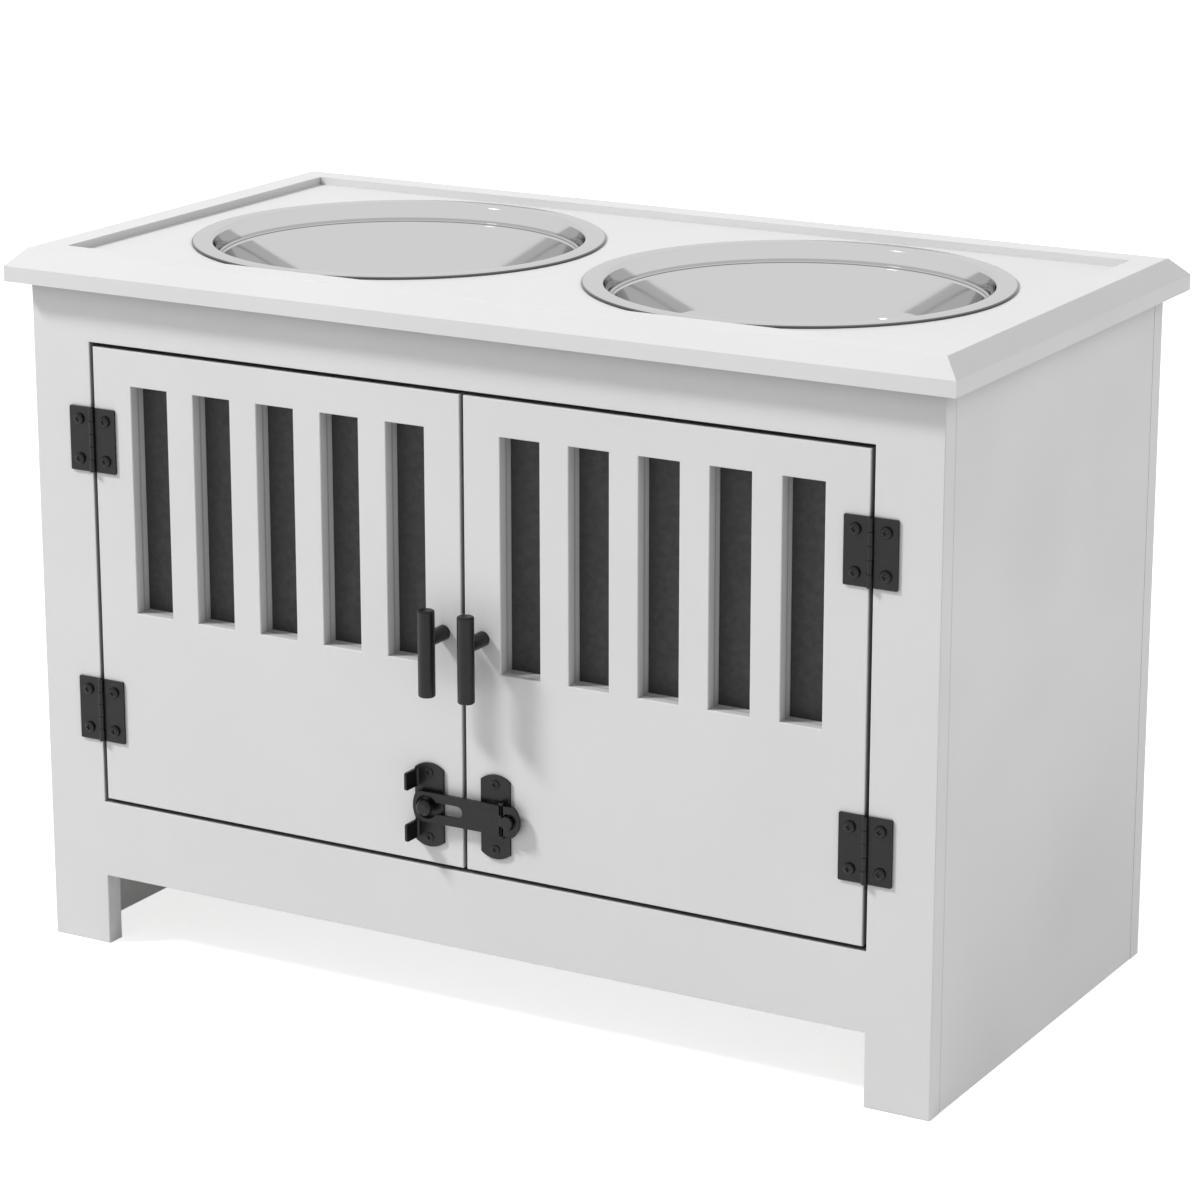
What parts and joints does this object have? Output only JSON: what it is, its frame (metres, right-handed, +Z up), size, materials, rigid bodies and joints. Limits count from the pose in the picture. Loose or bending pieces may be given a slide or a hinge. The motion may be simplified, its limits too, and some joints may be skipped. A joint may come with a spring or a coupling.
{
  "type": "elevated dog feeder with storage",
  "caption": "Raised feeding cabinet: lift-out steel bowls in a recessed tray top over a cupboard with slatted doors, butt hinges, T-handles and a swing latch.",
  "frame": {"origin": "middle of the footprint's bounding box on the floor", "axes": "+X to the right along the front, +Y from the doors to the back, +Z up"},
  "size_m": [0.601, 0.3264, 0.419],
  "materials": {
    "white_lacquer": "white satin lacquer on board",
    "bare_wood": "bare pine and beech",
    "dark_backing": "dark grey hardboard",
    "bowl_steel": "polished stainless steel",
    "black_iron": "black powder coat",
    "zinc_screw": "bright zinc"
  },
  "bodies": {
    "cabinet": {"back_panel": "white_lacquer", "board_dowels": "bare_wood", "bottom_shelf": "white_lacquer", "cleat_screws": "zinc_screw", "front_frame": "white_lacquer", "hinge_frame_leaf_lower_left": "black_iron", "hinge_frame_leaf_lower_right": "black_iron", "hinge_frame_leaf_upper_left": "black_iron", "hinge_frame_leaf_upper_right": "black_iron", "hinge_frame_screws": "black_iron", "hinge_pin_lower_left": "black_iron", "hinge_pin_lower_right": "black_iron", "hinge_pin_upper_left": "black_iron", "hinge_pin_upper_right": "black_iron", "rim_back": "white_lacquer", "rim_dowels": "bare_wood", "rim_front": "white_lacquer", "rim_left": "white_lacquer", "rim_right": "white_lacquer", "shelf_cleat_left": "bare_wood", "shelf_cleat_right": "bare_wood", "side_panel_left": "white_lacquer", "side_panel_right": "white_lacquer", "tray_board": "white_lacquer", "tray_cleat_left": "bare_wood", "tray_cleat_right": "bare_wood"},
    "door_left": {"door_left": "white_lacquer", "door_backing_left": "dark_backing", "backing_screws_left": "zinc_screw", "hinge_door_leaf_upper_left": "black_iron", "hinge_door_leaf_lower_left": "black_iron", "hinge_door_screws_left": "black_iron", "handle_bar_left": "black_iron", "handle_stem_left": "black_iron", "handle_screw_left": "zinc_screw", "latch_keeper": "black_iron", "latch_keeper_screws": "black_iron", "latch_knob": "black_iron"},
    "door_right": {"door_right": "white_lacquer", "door_backing_right": "dark_backing", "backing_screws_right": "zinc_screw", "hinge_door_leaf_upper_right": "black_iron", "hinge_door_leaf_lower_right": "black_iron", "hinge_door_screws_right": "black_iron", "handle_bar_right": "black_iron", "handle_stem_right": "black_iron", "handle_screw_right": "zinc_screw", "latch_base": "black_iron", "latch_base_screws": "black_iron", "latch_pin": "black_iron"},
    "latch_swing": {"latch_bar": "black_iron"},
    "bowl_left": {"bowl_left": "bowl_steel"},
    "bowl_right": {"bowl_right": "bowl_steel"}
  },
  "joints": [
    {"name": "door_right_hinge", "type": "hinge", "parent": "cabinet", "child": "door_right", "pos_m": [0.2493, -0.14213, 0.2285], "axis": [0, 0, 1], "range_deg": [0, 150]},
    {"name": "door_left_hinge", "type": "hinge", "parent": "cabinet", "child": "door_left", "pos_m": [-0.2493, -0.14213, 0.2285], "axis": [0, 0, -1], "range_deg": [0, 120]},
    {"name": "latch_bar_hinge", "type": "hinge", "parent": "door_right", "child": "latch_swing", "pos_m": [0.0266, -0.14483, 0.1264], "axis": [0, 0, 1], "range_deg": [0, 90]},
    {"name": "bowl_left_lift", "type": "slide", "parent": "cabinet", "child": "bowl_left", "axis": [0, 0, 1], "range_m": [0, 0.08]},
    {"name": "bowl_right_lift", "type": "slide", "parent": "cabinet", "child": "bowl_right", "axis": [0, 0, 1], "range_m": [0, 0.08]}
  ],
  "couplings": [
    {"joint": "door_left_hinge", "follows": "door_right_hinge", "ratio": 0.8}
  ]
}
